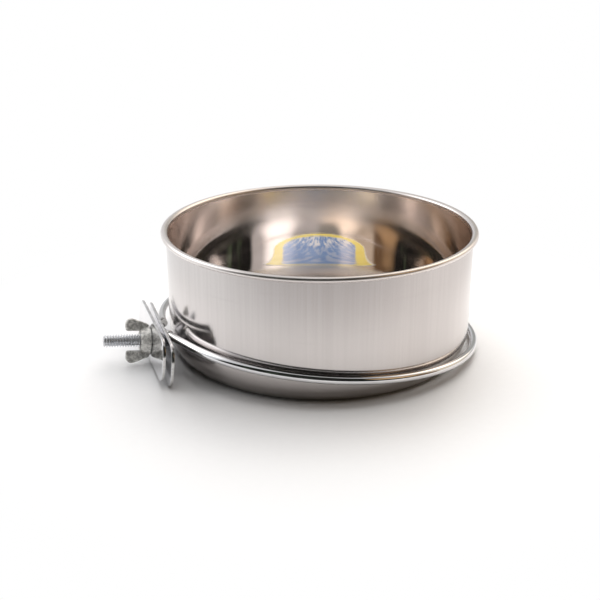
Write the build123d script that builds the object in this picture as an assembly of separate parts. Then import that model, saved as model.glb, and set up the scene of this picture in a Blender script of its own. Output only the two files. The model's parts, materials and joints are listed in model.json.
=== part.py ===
from build123d import *
import math
import os

# Seed cup standing in its loose holder ring, with the cage clamp at the left front.
# Millimetres, +Z up, origin at the centre of the cup's flat base.

# Cup, drawn from one sheet
cup_height = 60.0
rim_outer_radius = 76.0
rim_overhang = 2.4
sheet_thickness = 0.8
bead_radius = 1.3
corner_height = 14.0
corner_inset = 6.0

# Label on the cup's inner floor
label_round_radius = 24.0
label_round_forward = 3.0
label_tip_radius = 3.0
label_tip_back = 33.0
label_thickness = 0.2

# Holder ring, an open hoop of wire loose round the cup's wall; angles run from the bolt to the front
ring_play = 1.7
wire_radius = 1.9
far_end_angle = -1.5
near_bend_angle = 23.5
wire_end_gap = 0.05

# Where the holder lies: it leans on its clamp plates on one side and on the wire on the other
ring_centre_x = -0.3
ring_centre_y = -1.4
clamp_azimuth = -162.0
clamp_rise = 5.92
ring_rise = 5.4
ring_roll = 1.9
floor_clearance = 0.05

# The hoop's middle from the clamp's centre line: towards the cup, to the back and down
hoop_set_in = 0.525
hoop_back = 1.9
hoop_drop = 0.726

# Clamp plates
plate_length = 68.0
plate_height = 20.0
plate_thickness = 1.5
plate_corner_radius = 7.6
jaw_gap = 2.0
inner_plate_forward = 2.7
outer_plate_lift = 0.9
outer_plate_turn = 1.6
bolt_below_ring = 8.5

# Clamp bolt, a quarter inch coarse thread drawn at its crest size
bolt_radius = 3.05
bolt_past_outer_plate = 22.0
bolt_end_chamfer = 0.7
bolt_head_radius = 5.6
bolt_head_height = 3.2
bolt_head_edge = 1.0
neck_side = 6.3
neck_length = 1.3
neck_clearance = 0.1
plate_hole_clearance = 0.3
nut_thread_clearance = 0.05

# Wing nut
nut_seat_gap = 0.05
hub_base_radius = 6.7
hub_top_radius = 5.5
hub_length = 4.8
hub_edge_round = 0.7
wing_thickness = 3.0
wing_edge_round = 0.9
wing_turn = 20.0
wing_root_reach = 6.4
wing_root_height = 2.0
wing_root_round = 1.8
wing_crest_reach = 7.8
wing_crest_height = 8.8
wing_crest_round = 2.8
wing_tip_reach = 5.8
wing_tip_height = 10.3
wing_tip_round = 1.2

# Weld spots that hold the wire's two ends to the inner plate, just short of each end
near_weld_past_end = 1.7
far_weld_from_end = 2.0
weld_radius = 2.2
weld_lift = 0.4
weld_sink = 1.3

# Sizes that follow from the ones above
wall_outer_radius = rim_outer_radius - rim_overhang
wall_inner_radius = wall_outer_radius - sheet_thickness
base_flat_radius = wall_outer_radius - corner_inset
bead_centre_radius = rim_outer_radius - bead_radius
bead_centre_height = cup_height - bead_radius
ring_radius = wall_outer_radius + ring_play + wire_radius
bend_x = ring_radius * math.cos(math.radians(near_bend_angle))
bend_y = ring_radius * math.sin(math.radians(near_bend_angle))
ring_tilt_cosine = math.cos(math.radians(ring_rise)) * math.cos(math.radians(ring_roll))
ring_tilt_sine = math.sqrt(1.0 - ring_tilt_cosine ** 2)
ring_centre_z = ring_radius * ring_tilt_sine + wire_radius + floor_clearance + hoop_drop
hoop_reach = ring_radius + wire_radius
plate_from_hoop = hoop_reach * math.cos(math.radians(clamp_rise - ring_rise))
hoop_inward = (hoop_set_in * math.cos(math.radians(clamp_rise))
               + hoop_drop * math.sin(math.radians(clamp_rise)))
inner_plate_face = plate_from_hoop - hoop_inward
near_end_x = hoop_reach - wire_end_gap - wire_radius * math.cos(math.radians(near_bend_angle))
near_end_y = bend_y - (near_end_x - bend_x) / math.tan(math.radians(near_bend_angle))
far_end_y = ring_radius * math.sin(math.radians(far_end_angle))
inner_plate_back = inner_plate_face + plate_thickness
outer_plate_face = inner_plate_back + jaw_gap
outer_plate_back = outer_plate_face + plate_thickness
nut_base = outer_plate_back + nut_seat_gap
bolt_end = outer_plate_back + bolt_past_outer_plate

# Holder frame: Z runs outward along the bolt, X points down, Y points to the front
ring_centre = Pos(ring_centre_x, ring_centre_y, ring_centre_z) * Rot(0, 0, clamp_azimuth)
clamp_frame = ring_centre * Rot(0, 90 - clamp_rise, 0)
bolt_frame = clamp_frame * Pos(bolt_below_ring, 0, 0)
hoop_centre = ring_centre * Pos(-hoop_set_in, -hoop_back, -hoop_drop)
ring_frame = hoop_centre * Rot(0, -ring_rise, 0) * Rot(ring_roll, 0, 0)


def turned(face):
    """Turn a face drawn as radius against height once round the cup's axis."""
    return revolve(Plane.XZ * face, Axis.Z)


def cup_body():
    """The whole cup as one sheet: flat base, drawn corner, straight wall, rolled rim."""
    corner = (base_flat_radius, corner_height)
    bead = (bead_centre_radius, bead_centre_height)
    meet = math.acos((wall_outer_radius - bead_centre_radius) / bead_radius)
    meet_height = bead_centre_height - bead_radius * math.sin(meet)
    rim_inner_width = bead_centre_radius - wall_inner_radius
    base_outside = Line((0, 0), (base_flat_radius, 0))
    corner_outside = EllipticalCenterArc(
        corner, corner_inset, corner_height, start_angle=270, arc_size=90)
    wall_outside = Line((wall_outer_radius, corner_height), (wall_outer_radius, meet_height))
    bead_arc = CenterArc(bead, bead_radius, -math.degrees(meet), 90 + math.degrees(meet))
    rim_inside = EllipticalCenterArc(
        bead, rim_inner_width, bead_radius, start_angle=90, arc_size=90)
    wall_inside = Line((wall_inner_radius, bead_centre_height), (wall_inner_radius, corner_height))
    corner_inside = EllipticalCenterArc(
        corner, corner_inset - sheet_thickness, corner_height - sheet_thickness,
        start_angle=270, arc_size=90)
    floor_inside = Line((base_flat_radius, sheet_thickness), (0, sheet_thickness))
    axis_side = Line((0, sheet_thickness), (0, 0))
    edges = [base_outside, corner_outside, wall_outside, bead_arc, rim_inside,
             wall_inside, corner_inside, floor_inside, axis_side]
    return turned(make_face(Curve() + edges))


def floor_label():
    """A drop-shaped paper label lying on the cup's inner floor, its round end to the front."""
    round_end = Pos(0, -label_round_forward) * Circle(label_round_radius)
    tip = Pos(0, label_tip_back) * Circle(label_tip_radius)
    outline = make_hull(round_end.edges() + tip.edges())
    return Pos(0, 0, sheet_thickness) * extrude(outline, label_thickness)


def ring_wire():
    """The open hoop: a round run from its far end, a bend, a straight run cut square at the inner plate."""
    straight_run = Line((near_end_x, near_end_y), (bend_x, bend_y))
    round_run = CenterArc((0, 0), ring_radius, near_bend_angle, 360 + far_end_angle - near_bend_angle)
    run = Curve() + [straight_run, round_run]
    section = Plane(origin=straight_run @ 0, z_dir=straight_run % 0) * Circle(wire_radius)
    wire = sweep(section, path=run)
    plate_side = hoop_reach - wire_end_gap
    beyond = Pos(plate_side + ring_radius, 0, 0) * Box(2 * ring_radius, 4 * ring_radius, ring_radius)
    return ring_frame * (wire - beyond)


def clamp_plate(face_at, hole, middle):
    """A flat round-cornered plate across the bolt; face_at is its cup side, middle places it there."""
    outline = middle * RectangleRounded(plate_height, plate_length, plate_corner_radius)
    plate = extrude(outline - hole, plate_thickness)
    return bolt_frame * Pos(0, 0, face_at) * plate


def inner_plate():
    """The plate that is welded to the ring, with a square hole for the bolt's neck."""
    hole_side = neck_side + 2 * neck_clearance
    middle = Pos(0, inner_plate_forward)
    return clamp_plate(inner_plate_face, Rectangle(hole_side, hole_side), middle)


def outer_plate():
    """The loose plate, a little askew on the bolt, with a clearance hole for it."""
    middle = Pos(-outer_plate_lift, 0) * Rot(0, 0, outer_plate_turn)
    return clamp_plate(outer_plate_face, Circle(bolt_radius + plate_hole_clearance), middle)


def clamp_bolt():
    """The bolt: low round head on the cup side, square neck, long threaded shank."""
    head_middle = inner_plate_face - bolt_head_height / 2
    head = Pos(0, 0, head_middle) * Cylinder(bolt_head_radius, bolt_head_height)
    head = fillet(head.edges().group_by(Axis.Z)[0], bolt_head_edge)
    neck = Pos(0, 0, inner_plate_face + neck_length / 2) * Box(neck_side, neck_side, neck_length)
    shank_length = bolt_end - inner_plate_face
    shank = Pos(0, 0, inner_plate_face + shank_length / 2) * Cylinder(bolt_radius, shank_length)
    shank = chamfer(shank.edges().group_by(Axis.Z)[-1], bolt_end_chamfer)
    return bolt_frame * (head + neck + shank)


def wing(side):
    """One wing of the nut, a broad rounded lobe beside the bolt; side is +1 or -1."""
    root = Pos(side * wing_root_reach, wing_root_height) * Circle(wing_root_round)
    crest = Pos(side * wing_crest_reach, wing_crest_height) * Circle(wing_crest_round)
    tip = Pos(side * wing_tip_reach, wing_tip_height) * Circle(wing_tip_round)
    outline = make_hull(root.edges() + crest.edges() + tip.edges())
    blade = extrude(Plane.XZ * outline, wing_thickness / 2, both=True)
    sides = blade.faces().sort_by(Axis.Y)
    return fillet(sides[0].edges() + sides[-1].edges(), wing_edge_round)


def wing_nut():
    """Cast wing nut: tapered hub, two wings and a plain bore just over the thread's crest."""
    hub = Pos(0, 0, hub_length / 2) * Cone(hub_base_radius, hub_top_radius, hub_length)
    hub = fillet(hub.edges().group_by(Axis.Z)[-1], hub_edge_round)
    body = hub + wing(1) + wing(-1)
    bore = Cylinder(bolt_radius + nut_thread_clearance, 4 * hub_length)
    return bolt_frame * Pos(0, 0, nut_base) * Rot(0, 0, wing_turn) * (body - bore)


def weld_spot(along_plate, wire, plate):
    """A spot of weld metal between wire and inner plate, along_plate to the front of the hoop's middle."""
    spot = Sphere(weld_radius)
    placed = ring_frame * Pos(hoop_reach - weld_sink, along_plate, weld_lift) * spot
    pieces = (placed - wire - plate).solids()
    return pieces.sort_by(SortBy.VOLUME)[-1]


wire_solid = ring_wire()
inner_plate_solid = inner_plate()
nodes = {
    "cup": cup_body(),
    "floor_label": floor_label(),
    "ring_wire": wire_solid,
    "near_weld": weld_spot(near_end_y - near_weld_past_end, wire_solid, inner_plate_solid),
    "far_weld": weld_spot(far_end_y - far_weld_from_end, wire_solid, inner_plate_solid),
    "inner_plate": inner_plate_solid,
    "clamp_bolt": clamp_bolt(),
    "outer_plate": outer_plate(),
    "wing_nut": wing_nut(),
}

os.makedirs("parts", exist_ok=True)
for name, shape in nodes.items():
    export_step(shape, f"parts/{name}.step")
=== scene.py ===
import json
import math

import bpy
import numpy as np
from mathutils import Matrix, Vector


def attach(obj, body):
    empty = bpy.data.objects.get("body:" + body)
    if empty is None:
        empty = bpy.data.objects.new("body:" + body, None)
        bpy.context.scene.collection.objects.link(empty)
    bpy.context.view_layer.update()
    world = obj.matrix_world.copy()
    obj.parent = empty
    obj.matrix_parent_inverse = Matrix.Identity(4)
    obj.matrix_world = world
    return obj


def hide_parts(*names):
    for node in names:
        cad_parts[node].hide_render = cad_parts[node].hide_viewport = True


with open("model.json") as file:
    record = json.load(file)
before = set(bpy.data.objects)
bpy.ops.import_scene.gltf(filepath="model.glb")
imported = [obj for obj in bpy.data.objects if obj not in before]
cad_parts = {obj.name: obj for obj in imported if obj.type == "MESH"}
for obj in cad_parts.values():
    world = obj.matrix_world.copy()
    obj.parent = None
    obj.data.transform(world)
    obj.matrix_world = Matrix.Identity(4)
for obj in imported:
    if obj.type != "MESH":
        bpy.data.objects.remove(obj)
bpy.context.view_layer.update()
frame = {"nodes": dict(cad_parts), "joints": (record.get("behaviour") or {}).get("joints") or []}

# Seed cup in its wire holder ring, with the cage clamp at the left front.
# Sizes are millimetres until a mesh is made; Blender's own units are metres.
MM = 0.001

# Cup
cup_height = 60.0
rim_radius = 76.0
rim_overhang = 2.4
sheet = 0.8
bead_radius = 1.3
corner_height = 14.0
corner_inset = 6.0
wall_radius = rim_radius - rim_overhang
flat_radius = wall_radius - corner_inset

# The inner floor is flat out to a circle near the label's tip, then rises gently into the corner
floor_rise = 2.6
floor_rise_start = 34.0

# The cup's profile starts at a ring round the axis and leaves short gaps between straight runs and arcs
base_ring = 10.0
run_gap = 1.0
bead_gap = 0.1
rim_gap_degrees = 4
cup_turns = 288

# Label on the inner floor: the hull of a large circle at the front and a small one at the back
label_round_radius = 24.0
label_round_forward = 3.0
label_tip_radius = 3.0
label_tip_back = 33.0
label_border = 5.0
label_tip_border = 2.0
label_print_edge = 0.15

# Holder ring, an open hoop; its angles run from the bolt to the front.
# The wire is a touch thinner than the solid one, so that it stays inside it.
ring_play = 1.7
solid_wire_radius = 1.9
wire_radius = 1.88
wire_end_gap = 0.05
near_bend = math.radians(23.5)
far_end = math.radians(358.5)
ring_rise = math.radians(5.4)
ring_roll = math.radians(1.9)
ring_radius = wall_radius + ring_play + solid_wire_radius
hoop_reach = ring_radius + solid_wire_radius
wire_turns = 36
hoop_steps = 330
straight_steps = 15

# The hoop's middle from the clamp's centre line: towards the cup, to the back and down
hoop_set_in = 0.525
hoop_back = 1.9
hoop_drop = 0.726

# Weld spots, placed to the front of the hoop's middle: waved balls, drawn in to leave room for their waves
near_weld_forward = 14.11
far_weld_forward = -4.02
weld_radius = 2.2
weld_lift = 0.4
weld_sink = 1.3
weld_fill = 0.98
weld_wave_room = 0.06
weld_turn_wave = 0.05
weld_turn_waves = 5
weld_slant_wave = 0.04
weld_slant_rises = 9
weld_slant_turns = 3
weld_pole_degrees = 84
weld_rows = 27
weld_turns = 48

# Clamp, with stations along the bolt measured outward from the nut's seat
clamp_reach = 78.5
bolt_below_ring = 8.5
plate_length = 68.0
plate_height = 20.0
plate_thickness = 1.5
plate_corner = 7.6
jaw_gap = 2.0
nut_seat_gap = 0.05
inner_plate_forward = 2.7
outer_plate_lift = 0.9
outer_plate_turn = math.radians(1.6)
outer_plate_face = -nut_seat_gap - plate_thickness
inner_plate_face = outer_plate_face - jaw_gap - plate_thickness

# Plate edges, with a strip of the face beside each one that keeps its shading flat
plate_edge = 0.35
plate_edge_strip = 0.15
hole_edge = 0.12
hole_edge_strip = 0.4
plate_corner_steps = 15
plate_side_steps = 9
plate_edge_steps = 6

# Bolt
head_radius = 5.6
head_height = 3.2
head_edge = 1.0
head_ring = 2.0
neck_side = 6.3
neck_length = 1.3
neck_clearance = 0.1
neck_corner_reach = 1.25
crest_radius = 3.05
root_radius = 2.3
thread_pitch = 1.27
thread_root_share = 0.25
thread_flank_share = 0.625
bolt_past_plate = 22.0
bolt_end = bolt_past_plate - nut_seat_gap
end_chamfer = 0.7
plate_hole_clearance = 0.3
nut_thread_clearance = 0.05
bolt_turns = 72
pitch_steps = 16

# Wing nut
hub_base = 6.7
hub_top = 5.5
hub_length = 4.8
hub_edge = 0.5
hub_base_inset = 0.4
hub_top_spread = 0.15
hub_top_inset = 0.35
bore_radius = crest_radius + nut_thread_clearance
bore_edge = 0.3
hub_turns = 96
wing_turn = math.radians(20)
wing_thickness = 3.0
wing_edge = 0.9
wing_turns = 120
wing_edge_steps = 12
skin_voxel = 0.22

# Three circles whose hull is a wing's outline: reach from the bolt, height above the seat, radius
wing_circles = np.array([[6.4, 2.0, 1.8], [7.8, 8.8, 2.8], [5.8, 10.3, 1.2]])

# Faces that meet at a smaller angle than this, in degrees, are shaded as one smooth surface
sharp_edge = 35
sharp_thread = 50
all_smooth = 180

# The clamp's directions come from the nut's joint: outward along the bolt, level to the front, and down
nut_turn = next(joint for joint in frame["joints"] if joint["name"] == "nut_turn")
nut_seat = np.array(nut_turn["pos_m"]) / MM
outward = np.array(nut_turn["axis"]) / np.linalg.norm(nut_turn["axis"])
front = np.cross((0, 0, 1), outward)
front /= np.linalg.norm(front)
down = np.cross(front, outward)

# The ring rises towards the clamp and leans by the roll about that direction
level_outward = np.cross(front, (0, 0, 1))
clamp_centre = nut_seat - down * bolt_below_ring + outward * (inner_plate_face - clamp_reach)
ring_centre = clamp_centre - level_outward * hoop_set_in - front * hoop_back - np.array((0, 0, hoop_drop))
ring_outward = level_outward * math.cos(ring_rise) + np.array((0, 0, math.sin(ring_rise)))
ring_upward = np.cross(ring_outward, front)
ring_side = front * math.cos(ring_roll) + ring_upward * math.sin(ring_roll)
ring_normal = ring_upward * math.cos(ring_roll) - front * math.sin(ring_roll)
ring_axes = np.stack([ring_outward, ring_side, ring_normal])


class Field:
    """A shader socket that can stand in a sum; each operator adds one Math node."""

    def __init__(self, finish, socket):
        self.finish = finish
        self.socket = socket

    def math(self, operation, *values):
        """A Math node with the given values on its sockets."""
        return self.finish.node("ShaderNodeMath", {"operation": operation}, dict(enumerate(values)))

    def __add__(self, other):
        return self.math("ADD", self, other)

    def __sub__(self, other):
        return self.math("SUBTRACT", self, other)

    def __rsub__(self, other):
        return self.math("SUBTRACT", other, self)

    def __mul__(self, other):
        return self.math("MULTIPLY", self, other)

    def __truediv__(self, other):
        return self.math("DIVIDE", self, other)

    __radd__ = __add__
    __rmul__ = __mul__

    def root(self):
        """The square root."""
        return self.math("SQRT", self)

    def high(self, other):
        """The larger of the two."""
        return self.math("MAXIMUM", self, other)

    def low(self, other):
        """The smaller of the two."""
        return self.math("MINIMUM", self, other)

    def size(self):
        """The value without its sign."""
        return self.math("ABSOLUTE", self)

    def ramp(self, start, stop, low=0.0, high=1.0):
        """A smooth rise from low at start to high at stop, level outside."""
        values = {"Value": self, "From Min": start, "From Max": stop, "To Min": low, "To Max": high}
        return self.finish.node("ShaderNodeMapRange", {"interpolation_type": "SMOOTHSTEP"}, values)


class Finish:
    """A node tree with one method for every node and a few for what is used often."""

    def __init__(self, tree):
        self.tree = tree
        tree.nodes.clear()

    def node(self, kind, settings=None, values=None, output=0):
        """Add a node, set its settings first, then its sockets' values or links."""
        made = self.tree.nodes.new(kind)
        for key, setting in (settings or {}).items():
            setattr(made, key, setting)
        for key, value in (values or {}).items():
            if isinstance(value, Field):
                self.tree.links.new(value.socket, made.inputs[key])
            else:
                made.inputs[key].default_value = value
        return Field(self, made.outputs[output]) if made.outputs else None

    def place(self):
        """The Object coordinates in metres."""
        return self.node("ShaderNodeTexCoord", output="Object")

    def axes(self, vector):
        """The three parts of a vector."""
        first = self.node("ShaderNodeSeparateXYZ", None, {0: vector})
        sockets = first.socket.node.outputs
        return [Field(self, socket) for socket in sockets]

    def vector(self, operation, first, second=None, output=0):
        """A Vector Math node of one or two vectors."""
        values = {0: first}
        if second is not None:
            values[1] = second
        return self.node("ShaderNodeVectorMath", {"operation": operation}, values, output)

    def noise(self, vector, scale, detail=2.0, rough=0.5, stretch=None):
        """Noise from 0 to 1 at scale features per metre; stretch scales the axes first."""
        if stretch is not None:
            vector = self.vector("MULTIPLY", vector, stretch)
        values = {"Vector": vector, "Scale": scale, "Detail": detail, "Roughness": rough}
        return self.node("ShaderNodeTexNoise", None, values)

    def mix(self, factor, first, second):
        """Colour first where factor is 0 and second where it is 1."""
        settings = {"data_type": "RGBA"}
        return self.node("ShaderNodeMix", settings, {0: factor, 6: first, 7: second}, 2)

    def bump(self, height, strength, distance):
        """A normal that follows a height from 0 to 1, distance metres deep."""
        values = {"Height": height, "Strength": strength, "Distance": distance}
        return self.node("ShaderNodeBump", None, values)

    def shader(self, **values):
        """A Principled shader on the material's output; underscores in names stand for spaces."""
        sockets = {key.replace("_", " "): value for key, value in values.items()}
        made = self.node("ShaderNodeBsdfPrincipled", None, sockets)
        self.node("ShaderNodeOutputMaterial", None, {"Surface": made})


def new_finish(name):
    """A new node material and the Finish that fills it."""
    material = bpy.data.materials.new(name + "_finish")
    material.use_nodes = True
    return material, Finish(material.node_tree)


def axis_distance(finish, place):
    """Distance from the bolt's axis: length of the cross product of place and the axis."""
    offset = finish.vector("SUBTRACT", place, tuple(nut_seat * MM))
    crossed = finish.vector("CROSS_PRODUCT", offset, tuple(outward))
    return finish.vector("LENGTH", crossed, output="Value")


def along_bolt(finish, place):
    """Station along the bolt from the nut's seat: dot product of place and the axis."""
    offset = finish.vector("SUBTRACT", place, tuple(nut_seat * MM))
    return finish.vector("DOT_PRODUCT", offset, tuple(outward), output="Value")


def cup_steel():
    """Stainless sheet: drawn lines and rubs outside, painted shade at the base, polished inside.
    The inside is duller at the corner, high on the wall and on the rim."""
    material, finish = new_finish("cup_steel")
    place = finish.place()
    x, y, z = finish.axes(place)
    radius = (x * x + y * y).root()
    # Sheet side: the middle of the sheet is a line at the wall and a quarter ellipse at the corner
    across = ((radius - flat_radius * MM) / ((corner_inset - sheet / 2) * MM)).high(0.0)
    under = ((corner_height * MM - z) / ((corner_height - sheet / 2) * MM)).high(0.0)
    outside = (across * across + under * under).ramp(0.97, 1.03)
    bead_foot = cup_height - 2 * bead_radius
    rim = z.ramp(bead_foot * MM, (bead_foot + 0.4) * MM)
    drawn = outside * (1 - rim)
    lines = finish.noise(place, scale=900.0, detail=3.0, rough=0.6, stretch=(1.0, 1.0, 0.012))
    bands = finish.noise(place, scale=160.0, detail=2.0, rough=0.5, stretch=(1.0, 1.0, 0.02))
    rubs = finish.noise(place, scale=120.0, detail=3.0, rough=0.6, stretch=(0.12, 0.12, 3.0))
    clouds = finish.noise(place, scale=28.0, detail=3.0, rough=0.55)
    around = finish.node("ShaderNodeCombineXYZ", None, {0: radius, 1: z})
    spin = finish.noise(around, scale=1500.0, detail=2.0, rough=0.5)
    scuffs = rubs.ramp(0.58, 0.78)
    tone = lines * 0.5 + bands * 0.3 + clouds * 0.2 - scuffs * 0.12
    outer_dark = (0.625, 0.592, 0.580, 1)
    outer_light = (0.675, 0.642, 0.630, 1)
    painted_base_shade = (0.40, 0.37, 0.355, 1)
    inner_dark = (0.80, 0.752, 0.722, 1)
    inner_light = (0.86, 0.815, 0.79, 1)
    outer_colour = finish.mix(tone.ramp(0.3, 0.7), outer_dark, outer_light)
    # Painted shade: the outside darkens towards this colour from 18 mm down to 5 mm above the floor
    outer_colour = finish.mix(z.ramp(18 * MM, 5 * MM), outer_colour, painted_base_shade)
    inner_colour = finish.mix(clouds.ramp(0.35, 0.65), inner_dark, inner_light)
    colour = finish.mix(drawn, inner_colour, outer_colour)
    upper = z.ramp(33 * MM, 48 * MM)
    corner = z.ramp(16 * MM, 11 * MM) * radius.ramp(62 * MM, 67 * MM)
    outer_rough = 0.10 + lines * 0.06 + scuffs * 0.04 + clouds * 0.03
    inner_rough = 0.03 + clouds.ramp(0.4, 0.7) * 0.02 + upper * 0.12 + corner * 0.22 + rim * 0.14
    rough = inner_rough + (outer_rough - inner_rough) * drawn
    relief = (lines * 0.7 + bands * 0.3) * drawn + spin * 0.12 * (1 - drawn)
    normal = finish.bump(relief, strength=0.12, distance=0.2 * MM)
    finish.shader(Base_Color=colour, Metallic=1.0, Roughness=rough, Normal=normal)
    return material


def label_paper():
    """Printed paper under a clear coat: a blue field with pale wavy lines, a yellow border, a bare edge."""
    material, finish = new_finish("label_paper")
    place = finish.place()
    x, y = finish.axes(place)[:2]
    # Depth in from the cut edge: each point belongs to a circle that shrinks as it moves to the tip
    spread = label_round_forward + label_tip_back
    shrink = label_round_radius - label_tip_radius
    lean = shrink / math.sqrt(spread ** 2 - shrink ** 2)
    back = y + label_round_forward * MM
    share = ((back - x.size() * lean) / (spread * MM)).high(0.0).low(1.0)
    off = back - share * (spread * MM)
    depth = label_round_radius * MM - share * (shrink * MM) - (x * x + off * off).root()
    wobble = finish.noise(place, scale=600.0) * (0.3 * MM)
    fibre = finish.noise(place, scale=2500.0, detail=3.0, rough=0.6)
    ink = finish.noise(place, scale=90.0, detail=3.0, rough=0.6)
    waves = finish.noise(place, scale=150.0, stretch=(4.5, 0.7, 1.0)).ramp(0.46, 0.60)
    waves = waves * y.ramp(6 * MM, -6 * MM, 0.35, 1.0)
    blue = finish.mix(ink.ramp(0.3, 0.7), (0.10, 0.22, 0.50, 1), (0.16, 0.30, 0.58, 1))
    yellow = finish.mix(ink.ramp(0.3, 0.7), (0.84, 0.66, 0.06, 1), (0.90, 0.74, 0.12, 1))
    paper = finish.mix(fibre, (0.78, 0.77, 0.74, 1), (0.88, 0.87, 0.85, 1))
    field = finish.mix(waves * 0.85, blue, paper)
    inset = depth + wobble + share * ((label_border - label_tip_border) * MM)
    border = inset.ramp((label_border + label_print_edge) * MM, (label_border - label_print_edge) * MM)
    cut = depth.ramp(0.5 * MM, 0.2 * MM)
    colour = finish.mix(border, field, yellow)
    colour = finish.mix(cut, colour, paper)
    rough = 0.20 + fibre * 0.10 + cut * 0.25
    normal = finish.bump(fibre, strength=0.15, distance=0.05 * MM)
    finish.shader(Base_Color=colour, Roughness=rough, Coat_Weight=1.0, Normal=normal)
    return material


def ring_chrome():
    """Bright plated wire with faint drawing marks and a duller heat mark by the clamp."""
    material, finish = new_finish("ring_chrome")
    place = finish.place()
    cloud = finish.noise(place, scale=60.0, detail=3.0, rough=0.6)
    pits = finish.noise(place, scale=1400.0, detail=2.0, rough=0.5)
    heat_start = inner_plate_face - 8
    heat_full = inner_plate_face - 1
    heat = along_bolt(finish, place).ramp(heat_start * MM, heat_full * MM)
    colour = finish.mix(cloud.ramp(0.35, 0.65), (0.76, 0.76, 0.775, 1), (0.83, 0.83, 0.84, 1))
    colour = finish.mix(heat * cloud, colour, (0.60, 0.57, 0.53, 1))
    rough = 0.045 + cloud.ramp(0.4, 0.75) * 0.05 + heat * 0.05
    normal = finish.bump(cloud * 0.8 + pits * 0.2, strength=0.06, distance=0.2 * MM)
    finish.shader(Base_Color=colour, Metallic=1.0, Roughness=rough, Normal=normal)
    return material


def plate_chrome():
    """Polished plate: mirror faces with fine rubs, sheared edges with lines across them."""
    material, finish = new_finish("plate_chrome")
    place = finish.place()
    station = along_bolt(finish, place)
    half = plate_thickness / 2
    middle_inner = (inner_plate_face + half) * MM
    middle_outer = (outer_plate_face + half) * MM
    middle = (middle_inner + middle_outer) / 2
    from_middle = ((station - middle).size() - (middle_outer - middle)).size()
    edge = from_middle.ramp((half - 0.05) * MM, (half - 0.25) * MM)
    cloud = finish.noise(place, scale=70.0, detail=3.0, rough=0.6)
    rubs = finish.noise(place, scale=500.0, detail=2.0, rough=0.5, stretch=(1.0, 1.0, 0.08))
    shear = finish.noise(place, scale=1600.0, detail=2.0, rough=0.6, stretch=(0.2, 0.2, 1.0))
    face_colour = finish.mix(cloud.ramp(0.35, 0.65), (0.74, 0.74, 0.755, 1), (0.80, 0.80, 0.815, 1))
    edge_colour = finish.mix(shear.ramp(0.35, 0.65), (0.60, 0.59, 0.58, 1), (0.76, 0.75, 0.74, 1))
    colour = finish.mix(edge, face_colour, edge_colour)
    rough = 0.06 + rubs.ramp(0.5, 0.8) * 0.06 + edge * (0.06 + shear * 0.12)
    normal = finish.bump(rubs * 0.25 + shear * edge + cloud * 0.5, strength=0.10, distance=0.1 * MM)
    finish.shader(Base_Color=colour, Metallic=1.0, Roughness=rough, Normal=normal)
    return material


def bolt_zinc():
    """Bright zinc, a little darker in the thread's root."""
    material, finish = new_finish("bolt_zinc")
    place = finish.place()
    reach = axis_distance(finish, place)
    crest = reach.ramp(root_radius * MM, crest_radius * MM)
    cloud = finish.noise(place, scale=350.0, detail=3.0, rough=0.6)
    grain = finish.noise(place, scale=3000.0, detail=2.0, rough=0.5)
    bright = finish.mix(cloud.ramp(0.3, 0.7), (0.82, 0.84, 0.88, 1), (0.90, 0.92, 0.95, 1))
    colour = finish.mix(crest, (0.60, 0.61, 0.63, 1), bright)
    rough = 0.30 - crest * 0.14 + cloud * 0.08
    normal = finish.bump(grain * 0.4 + cloud * 0.6, strength=0.10, distance=0.08 * MM)
    finish.shader(Base_Color=colour, Metallic=0.7, Roughness=rough, Normal=normal)
    return material


def nut_zinc():
    """Dull die casting: mottled grey with a rough skin, and painted shade where it turns away from the eye.
    The ends of the wings are rubbed smoother, to a more even grey."""
    material, finish = new_finish("nut_zinc")
    place = finish.place()
    reach = axis_distance(finish, place)
    mottle = finish.noise(place, scale=700.0, detail=4.0, rough=0.65)
    stain = finish.noise(place, scale=130.0, detail=3.0, rough=0.6)
    grain = finish.noise(place, scale=2200.0, detail=3.0, rough=0.6)
    worn = reach.ramp(9.5 * MM, 13.8 * MM) * stain.ramp(0.35, 0.65)
    # Painted shade: the colour darkens towards a dark grey where the surface turns away from the eye
    painted_turn_shade = finish.node("ShaderNodeLayerWeight", None, {"Blend": 0.5}, "Facing").ramp(0.45, 0.9)
    dark = (0.40, 0.39, 0.37, 1)
    light = (0.97, 0.955, 0.915, 1)
    colour = finish.mix((mottle * 0.65 + stain * 0.35).ramp(0.36, 0.62), dark, light)
    colour = finish.mix(painted_turn_shade * 0.5, colour, (0.22, 0.215, 0.205, 1))
    colour = finish.mix(worn * 0.6, colour, (0.78, 0.77, 0.735, 1))
    rough = 0.42 + mottle * 0.2 - worn * 0.12
    normal = finish.bump(mottle * 0.6 + grain * 0.4, strength=0.35, distance=0.25 * MM)
    finish.shader(Base_Color=colour, Metallic=0.45, Roughness=rough, Normal=normal)
    return material


def weld_metal():
    """Plated weld bead: uneven skin, darker in its hollows."""
    material, finish = new_finish("weld_metal")
    place = finish.place()
    lumps = finish.noise(place, scale=700.0, detail=3.0, rough=0.6)
    grain = finish.noise(place, scale=2600.0, detail=2.0, rough=0.5)
    colour = finish.mix(lumps.ramp(0.3, 0.7), (0.36, 0.35, 0.34, 1), (0.70, 0.69, 0.68, 1))
    rough = 0.16 + lumps * 0.16
    normal = finish.bump(lumps * 0.8 + grain * 0.2, strength=0.4, distance=0.3 * MM)
    finish.shader(Base_Color=colour, Metallic=1.0, Roughness=rough, Normal=normal)
    return material


def in_clamp(points):
    """Points given as down, front and outward from the nut's seat, moved to the cup's frame."""
    return nut_seat + points @ np.stack([down, front, outward])


def arc(centre, radii, start, stop, count):
    """Points on an ellipse: centre plus the radii times cosine and sine of an even run of degrees."""
    angle = np.radians(np.linspace(start, stop, count))
    return np.stack([centre[0] + radii[0] * np.cos(angle), centre[1] + radii[1] * np.sin(angle)], -1)


def run(start, stop, count):
    """Even points on a straight line."""
    return np.linspace(start, stop, count)


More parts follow.
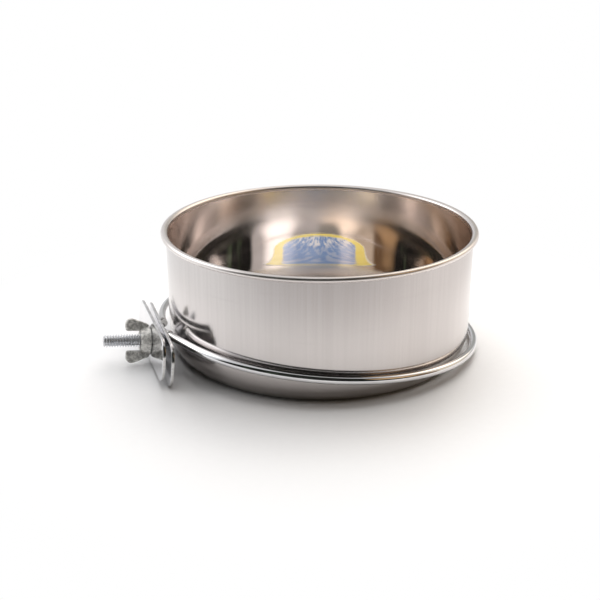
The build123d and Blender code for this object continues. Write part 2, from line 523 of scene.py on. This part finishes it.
def whole_turn(count):
    """Even angles once round, without the last that would repeat the first."""
    return np.linspace(0, 2 * math.pi, count, endpoint=False)


def revolved(profile, count):
    """Radius and height points carried round Z: radius times cosine and sine of an even turn of angles."""
    angle = whole_turn(count)
    radius, height = profile[:, :1], profile[:, 1:]
    return np.stack(np.broadcast_arrays(radius * np.cos(angle), radius * np.sin(angle), height), -1)


def closed_shell(grid, poles):
    """Points, quads and triangles of a closed skin over a grid whose rows are rings.
    With poles, each end row is closed by triangles to its middle; without, the last row joins the first."""
    rows, columns = grid.shape[:2]
    row = np.arange(rows - 1 if poles else rows)[:, None] * columns
    below = (row + columns) % (rows * columns)
    column = np.arange(columns)[None, :]
    across = (column + 1) % columns
    corners = (row + column, row + across, below + across, below + column)
    quads = np.stack(np.broadcast_arrays(*corners), -1).reshape(-1, 4)
    points = grid.reshape(-1, 3)
    if not poles:
        return points, quads, np.zeros((0, 3), int)
    ring, turned = column[0], across[0]
    first_pole = np.full(columns, len(points))
    last_pole = first_pole + 1
    last_row = (rows - 1) * columns
    first_cap = np.stack([turned, ring, first_pole], -1)
    last_cap = np.stack([last_row + ring, last_row + turned, last_pole], -1)
    points = np.concatenate([points, [grid[0].mean(0), grid[-1].mean(0)]])
    return points, quads, np.concatenate([first_cap, last_cap])


def volume(points, quads, triangles):
    """Signed volume: a sixth of the sum of corner triple products, each quad cut into two triangles."""
    cut = np.concatenate([quads[:, [0, 1, 2]], quads[:, [0, 2, 3]], triangles])
    a, b, c = (points[cut[:, k]] for k in range(3))
    return (np.cross(a, b) * c).sum() / 6


def add_piece(name, shells, body, node, material, sharp=sharp_edge):
    """One mesh object from closed shells, faces outward, that rides on a body and stands for a CAD node."""
    points, quads, triangles = np.zeros((0, 3)), np.zeros((0, 4), int), np.zeros((0, 3), int)
    for shell_points, shell_quads, shell_triangles in shells:
        order = -1 if volume(shell_points, shell_quads, shell_triangles) < 0 else 1
        quads = np.concatenate([quads, shell_quads[:, ::order] + len(points)])
        triangles = np.concatenate([triangles, shell_triangles[:, ::order] + len(points)])
        points = np.concatenate([points, shell_points])
    mesh = bpy.data.meshes.new(name)
    mesh.from_pydata((points * MM).tolist(), [], quads.tolist() + triangles.tolist())
    mesh.polygons.foreach_set("use_smooth", np.ones(len(mesh.polygons), bool))
    mesh.set_sharp_from_angle(angle=math.radians(sharp))
    mesh.materials.append(material)
    piece = bpy.data.objects.new(name, mesh)
    bpy.context.scene.collection.objects.link(piece)
    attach(piece, body)
    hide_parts(node)
    return piece


def drawn_cup():
    """The cup's sheet, one profile turned about Z: base, elliptical corner, wall, rolled bead, back inside.
    The inner floor's height is the cube root of the corner's height cubed plus the rise cubed;
    the rise grows with the square of the distance beyond the circle where it starts."""
    corner = (flat_radius, corner_height)
    bead = (rim_radius - bead_radius, cup_height - bead_radius)
    meet = math.degrees(math.acos((wall_radius - bead[0]) / bead_radius))
    meet_height = bead[1] - bead_radius * math.sin(math.radians(meet))
    inner_wall = wall_radius - sheet
    inner_corner = (corner_inset - sheet, corner_height - sheet)
    flat_end = flat_radius - run_gap
    wall_start = corner_height + run_gap
    floor = np.concatenate([
        arc(corner, inner_corner, 360, 270, 60),
        run((flat_end, sheet), (base_ring, sheet), 40),
    ])
    share = np.maximum(floor[:, 0] - floor_rise_start, 0) / (flat_radius - floor_rise_start)
    rise = floor_rise * share ** 2
    floor[:, 1] = sheet + np.cbrt((floor[:, 1] - sheet) ** 3 + rise ** 3)
    profile = np.concatenate([
        run((base_ring, 0), (flat_end, 0), 6),
        arc(corner, (corner_inset, corner_height), 270, 360, 40),
        run((wall_radius, wall_start), (wall_radius, meet_height - bead_gap), 10),
        arc(bead, (bead_radius, bead_radius), -meet, 90, 32),
        arc(bead, (bead[0] - inner_wall, bead_radius), 90 + rim_gap_degrees, 180, 16),
        run((inner_wall, bead[1] - run_gap), (inner_wall, wall_start), 10),
        floor,
    ])
    return closed_shell(revolved(profile, cup_turns), True)


def wire_ring():
    """An open hoop: the wire's section carried round the ring's circle, then straight to the inner plate.
    On the circle a point is the ring radius plus the section's cosine along the radius, its sine upright.
    The straight run moves the bend's section along the circle's tangent until its rim meets the plate."""
    section = whole_turn(wire_turns)[None, :]
    turn = np.linspace(near_bend, far_end, hoop_steps)[:, None]
    reach = ring_radius + wire_radius * np.cos(section)
    rise = np.broadcast_to(wire_radius * np.sin(section), (hoop_steps, wire_turns))
    circle = np.stack([reach * np.cos(turn), reach * np.sin(turn), rise], -1)
    plate_side = hoop_reach - wire_end_gap
    tangent = np.array([math.sin(near_bend), -math.cos(near_bend), 0])
    near_end = plate_side - wire_radius * math.cos(near_bend)
    length = (near_end - ring_radius * math.cos(near_bend)) / tangent[0]
    share = np.linspace(1, 0, straight_steps, endpoint=False)[:, None, None]
    straight = circle[:1] + tangent * length * share
    grid = np.concatenate([straight, circle])
    grid[..., 0] = np.minimum(grid[..., 0], plate_side)
    return closed_shell(ring_centre + grid @ ring_axes, True)


def clamp_plate(face, hole_reach, shift, turn):
    """A plate with round corners and soft edges, its section carried round the hole.
    The outline is a core rectangle plus the corner radius along the outward normal, less an inset;
    hole_reach gives the hole's reach from the bolt's axis for each direction.
    The plate's middle lies at shift, down and to the front of the bolt, and the plate is turned there."""
    half = np.array([plate_height, plate_length]) / 2 - plate_corner
    signs = np.array([(1, 1), (-1, 1), (-1, -1), (1, -1)])
    quarter = np.linspace(0, math.pi / 2, plate_corner_steps)
    sides = np.linspace(-1, 1, plate_side_steps)[1:-1, None]
    core, normal = [], []
    for k in range(4):
        corner, following = half * signs[k], half * signs[(k + 1) % 4]
        side = (corner + following) / 2 + (following - corner) / 2 * sides
        core += [np.repeat(corner[None], plate_corner_steps, 0), side]
        angle = quarter + k * math.pi / 2
        around = np.stack([np.cos(angle), np.sin(angle)], -1)
        normal += [around, np.repeat(around[-1:], len(sides), 0)]
    askew = np.array([[math.cos(turn), math.sin(turn)], [-math.sin(turn), math.cos(turn)]])
    core = np.concatenate(core) @ askew + shift
    normal = np.concatenate(normal) @ askew
    rim = core + plate_corner * normal
    direction = rim / np.linalg.norm(rim, axis=1, keepdims=True)
    reach = hole_reach(direction)[:, None]
    soft = np.radians(np.linspace(0, 90, plate_edge_steps))
    outer = [(plate_edge + plate_edge_strip, 0)]
    outer += [(plate_edge * (1 - math.sin(a)), plate_edge * (1 - math.cos(a))) for a in soft]
    outer += [(inset, plate_thickness - height) for inset, height in outer[::-1]]
    inner = [(hole_edge_strip, plate_thickness), (hole_edge, plate_thickness)]
    inner += [(0, plate_thickness - hole_edge)]
    inner += [(grow, plate_thickness - height) for grow, height in inner[::-1]]
    rows = [(core + (plate_corner - inset) * normal, height) for inset, height in outer]
    rows += [(direction * (reach + grow), height) for grow, height in inner]
    grid = np.stack([np.insert(flat, 2, face + height, axis=1) for flat, height in rows])
    return closed_shell(in_clamp(grid), False)


def square_reach(direction):
    """Reach of the square hole: half its side over the larger part of the direction."""
    return (neck_side / 2 + neck_clearance) / np.abs(direction).max(1)


def round_reach(direction):
    """Reach of the round hole, the same all round."""
    return np.full(len(direction), crest_radius + plate_hole_clearance)


def threaded_bolt():
    """Head, square neck and thread as one surface: a radius for each station and angle.
    The thread's radius follows a triangle wave of station over pitch less the angle's share of a turn,
    with its crest and root cut flat and its end bevelled."""
    angle = whole_turn(bolt_turns)
    head_start = inner_plate_face - head_height
    neck_end = inner_plate_face + neck_length
    edge = arc((head_start + head_edge, head_radius - head_edge), (head_edge, head_edge), 180, 90, 8)
    head = np.concatenate([[(head_start, head_ring)], edge, [(inner_plate_face, head_radius)]])
    larger_part = np.maximum(np.abs(np.cos(angle)), np.abs(np.sin(angle)))
    square = neck_side / 2 * np.minimum(1 / larger_part, neck_corner_reach)
    station = np.arange(neck_end, bolt_end, thread_pitch / pitch_steps)
    station = np.append(station, bolt_end)[:, None]
    phase = (station / thread_pitch - angle / (2 * math.pi)) % 1.0
    wave = np.abs(2 * phase - 1)
    depth = np.clip((wave - thread_root_share) / thread_flank_share, 0, 1)
    thread = root_radius + (crest_radius - root_radius) * depth
    bevel = crest_radius - np.maximum(station - (bolt_end - end_chamfer), 0)
    thread = np.minimum(thread, bevel)
    stations = np.concatenate([head[:, 0], [inner_plate_face, neck_end], station[:, 0]])[:, None]
    radii = np.concatenate([np.repeat(head[:, 1:], bolt_turns, 1), [square, square], thread])
    grid = np.stack(np.broadcast_arrays(radii * np.cos(angle), radii * np.sin(angle), stations), -1)
    return closed_shell(in_clamp(grid), True)


def nut_hub():
    """The hub's section, a tapered wall round the bore with bevelled edges, turned about the bolt."""
    profile = np.array([
        (bore_radius, bore_edge),
        (bore_radius + bore_edge, 0),
        (hub_base - hub_base_inset, 0),
        (hub_base, hub_edge),
        (hub_top + hub_top_spread, hub_length - hub_edge),
        (hub_top - hub_top_inset, hub_length),
        (bore_radius + bore_edge, hub_length),
        (bore_radius, hub_length - bore_edge),
    ])
    return closed_shell(in_clamp(revolved(profile, hub_turns)), False)


def nut_wing(side):
    """One wing: the hull of three circles carried across its thickness, drawn in along a round edge.
    For each direction the outline point is centre plus radius of the circle that reaches furthest there."""
    angle = whole_turn(wing_turns)
    ahead = np.stack([np.cos(angle), np.sin(angle)], -1)
    furthest = (wing_circles[:, :2] @ ahead.T + wing_circles[:, 2:]).argmax(0)
    centre, radius = wing_circles[furthest, :2], wing_circles[furthest, 2:]
    soft = np.linspace(-math.pi / 2, math.pi / 2, wing_edge_steps)
    inset = wing_edge * (1 - np.cos(soft))
    deep = (wing_thickness / 2 - wing_edge) * np.sign(soft) + wing_edge * np.sin(soft)
    outline = centre + (radius - inset[:, None, None]) * ahead
    reach, height = outline[..., 0], outline[..., 1]
    turn = wing_turn + (math.pi if side < 0 else 0)
    flat_down = reach * math.cos(turn) - deep[:, None] * math.sin(turn)
    flat_front = reach * math.sin(turn) + deep[:, None] * math.cos(turn)
    return closed_shell(in_clamp(np.stack([flat_down, flat_front, height], -1)), True)


def weld_bead(forward):
    """A ball with a few waves over it, sunk between wire and plate, forward of the hoop's middle.
    Its radius is drawn in, then waved by sines of the turn and of the rise that fade out at the poles."""
    rise = np.radians(np.linspace(-weld_pole_degrees, weld_pole_degrees, weld_rows))[:, None]
    turn = whole_turn(weld_turns)[None, :]
    ball = np.broadcast_arrays(np.cos(rise) * np.cos(turn), np.cos(rise) * np.sin(turn), np.sin(rise))
    round_waves = weld_turn_wave * np.sin(weld_turn_waves * turn + forward) * np.cos(rise) ** 2
    slant = weld_slant_rises * rise + weld_slant_turns * turn
    waves = round_waves + weld_slant_wave * np.sin(slant) * np.cos(rise)
    reach = weld_radius * weld_fill * (1 - weld_wave_room + waves)
    place = np.array([hoop_reach - weld_sink, forward, weld_lift])
    return closed_shell(ring_centre + (place + reach[..., None] * np.stack(ball, -1)) @ ring_axes, True)


plate_finish = plate_chrome()
weld_finish = weld_metal()
add_piece("drawn_cup", [drawn_cup()], "cup", "cup", cup_steel())
add_piece("wire_ring", [wire_ring()], "holder", "ring_wire", ring_chrome())
add_piece("near_weld_bead", [weld_bead(near_weld_forward)], "holder", "near_weld", weld_finish, all_smooth)
add_piece("far_weld_bead", [weld_bead(far_weld_forward)], "holder", "far_weld", weld_finish, all_smooth)
inner_shell = clamp_plate(inner_plate_face, square_reach, (0, inner_plate_forward), 0.0)
add_piece("welded_plate", [inner_shell], "holder", "inner_plate", plate_finish)
outer_shell = clamp_plate(outer_plate_face, round_reach, (-outer_plate_lift, 0), outer_plate_turn)
add_piece("loose_plate", [outer_shell], "outer_plate", "outer_plate", plate_finish)
add_piece("threaded_bolt", [threaded_bolt()], "holder", "clamp_bolt", bolt_zinc(), sharp_thread)
nut_shells = [nut_hub(), nut_wing(1), nut_wing(-1)]
cast_nut = add_piece("cast_wing_nut", nut_shells, "wing_nut", "wing_nut", nut_zinc(), all_smooth)

# The casting's hub and wings grow into one skin, then its inner corners soften
skin = cast_nut.modifiers.new("one_skin", "REMESH")
skin.mode = "VOXEL"
skin.voxel_size = skin_voxel * MM
skin.use_smooth_shade = True
soften = cast_nut.modifiers.new("soft_corners", "SMOOTH")
soften.factor = 0.5
soften.iterations = 3

label = frame["nodes"]["floor_label"]
label.data.materials.clear()
label.data.materials.append(label_paper())

# The studio, in metres
white = (1, 1, 1, 1)
floor_half = 3.0
shadow_reach = 0.085
plain_reach = 0.20
lamp_tint = (1.0, 0.99, 0.98)
camera_place = (0.0, -0.48464, 0.20853)
camera_lens = 63.0
camera_sensor = 36.0
camera_pitch_down = math.radians(21.147)
camera_yaw = math.radians(1.1025)
mirror_bounces = 12


def pale_floor():
    """A wide pale sheet that takes the shadows and turns to plain white away from the object.
    Mirrored in metal, the white is a little warm at the right and grey towards the front."""
    material, finish = new_finish("floor_white")
    place = finish.place()
    x, y = finish.axes(place)[:2]
    reach = (x * x + y * y).root()
    grain = finish.noise(place, scale=300.0, detail=2.0, rough=0.5)
    colour = finish.mix(grain, (0.80, 0.80, 0.805, 1), (0.83, 0.83, 0.835, 1))
    lit = finish.node("ShaderNodeBsdfPrincipled", None, {"Base Color": colour, "Roughness": 0.38})
    seen = finish.node("ShaderNodeLightPath", output="Is Camera Ray")
    mirrored = finish.node("ShaderNodeLightPath", output="Is Glossy Ray")
    through = finish.node("ShaderNodeLightPath", output="Is Transmission Ray")
    # Painted reflection: only mirrored rays see the floor's white turn warm at the right and grey towards
    # the front
    tone = finish.mix(x.ramp(-0.12, 0.12) * mirrored, white, (1.0, 0.955, 0.925, 1))
    tone = finish.mix(y.ramp(-0.02, -0.30) * mirrored, tone, (0.54, 0.518, 0.51, 1))
    plain = finish.node("ShaderNodeEmission", None, {"Color": tone, "Strength": 1.0})
    factor = reach.ramp(shadow_reach, plain_reach) * seen.high(mirrored).high(through)
    surface = finish.node("ShaderNodeMixShader", None, {0: factor, 1: lit, 2: plain})
    finish.node("ShaderNodeOutputMaterial", None, {"Surface": surface})
    mesh = bpy.data.meshes.new("floor")
    corners = [(-floor_half, -floor_half, 0), (floor_half, -floor_half, 0),
               (floor_half, floor_half, 0), (-floor_half, floor_half, 0)]
    mesh.from_pydata(corners, [], [(0, 1, 2, 3)])
    mesh.materials.append(material)
    floor = bpy.data.objects.new("floor", mesh)
    bpy.context.scene.collection.objects.link(floor)


def patch(finish, direction, towards, edge, full):
    """A round patch of the surroundings: 0 beyond edge and 1 within full, both cosines from its middle."""
    return finish.vector("DOT_PRODUCT", direction, towards, "Value").ramp(edge, full)


def studio_world():
    """White all round for the camera; what metal mirrors is pale above, behind and beside, dim in front.
    Two bright patches and a low duller one stand behind.
    The dim room in front has faint green shapes and is warm at the right."""
    world = bpy.data.worlds.new("studio")
    world.use_nodes = True
    bpy.context.scene.world = world
    finish = Finish(world.node_tree)
    direction = finish.node("ShaderNodeTexCoord", output="Generated")
    x, y = finish.axes(direction)[:2]
    left_patch = patch(finish, direction, (-0.76, 0.354, 0.545), 0.86, 0.98)
    right_patch = patch(finish, direction, (0.452, 0.645, 0.616), 0.86, 0.98)
    low_patch = patch(finish, direction, (0.26, 0.915, 0.31), 0.93, 0.985)
    warm_patch = patch(finish, direction, (0.76, -0.33, 0.56), 0.94, 0.985)
    shapes = finish.noise(direction, scale=7.0, detail=2.0, rough=0.5).ramp(0.55, 0.72)
    room = finish.mix(shapes, (0.018, 0.018, 0.017, 1), (0.09, 0.125, 0.08, 1))
    room = finish.mix(x.ramp(0.35, 0.9) * y.ramp(-0.5, -0.15), room, (0.20, 0.125, 0.07, 1))
    room = finish.mix(warm_patch, room, (0.60, 0.40, 0.22, 1))
    bright = finish.mix(x.ramp(0.55, 0.9), (0.70, 0.70, 0.71, 1), (0.74, 0.64, 0.52, 1))
    bright = finish.mix(left_patch, bright, (2.20, 2.18, 2.18, 1))
    bright = finish.mix(right_patch, bright, (2.00, 1.76, 1.50, 1))
    bright = finish.mix(low_patch, bright, (0.40, 0.40, 0.38, 1))
    dim = (x * 0.2 - y).ramp(0.08, 0.22)
    seen = finish.node("ShaderNodeLightPath", output="Is Camera Ray")
    colour = finish.mix(seen, finish.mix(dim, bright, room), white)
    background = finish.node("ShaderNodeBackground", None, {"Color": colour, "Strength": 1.0})
    finish.node("ShaderNodeOutputWorld", None, {"Surface": background})


def soft_lamp(name, place, aim, size, power):
    """A square soft lamp that faces its aim and is not itself mirrored in the metal."""
    lamp = bpy.data.lights.new(name, "AREA")
    lamp.size = size
    lamp.energy = power
    lamp.color = lamp_tint
    holder = bpy.data.objects.new(name, lamp)
    holder.location = place
    holder.rotation_euler = (Vector(place) - Vector(aim)).to_track_quat("Z", "Y").to_euler()
    holder.visible_glossy = False
    bpy.context.scene.collection.objects.link(holder)


def photo_camera():
    """The photograph's camera: a long lens on a square frame, in front of the cup and looking down."""
    camera = bpy.data.cameras.new("photo_camera")
    camera.lens = camera_lens
    camera.sensor_width = camera_sensor
    camera.clip_start = 0.01
    holder = bpy.data.objects.new("photo_camera", camera)
    holder.location = camera_place
    holder.rotation_euler = (math.pi / 2 - camera_pitch_down, 0.0, camera_yaw)
    bpy.context.scene.collection.objects.link(holder)
    bpy.context.scene.camera = holder


pale_floor()
studio_world()
soft_lamp("top_lamp", place=(0.15, 0.05, 0.9), aim=(0.0, 0.0, 0.03), size=1.0, power=6.1)
soft_lamp("back_lamp", place=(0.05, 0.55, 0.5), aim=(0.0, 0.1, 0.0), size=0.6, power=3.4)
photo_camera()
bpy.context.scene.view_settings.view_transform = "Standard"
bpy.context.scene.cycles.glossy_bounces = mirror_bounces
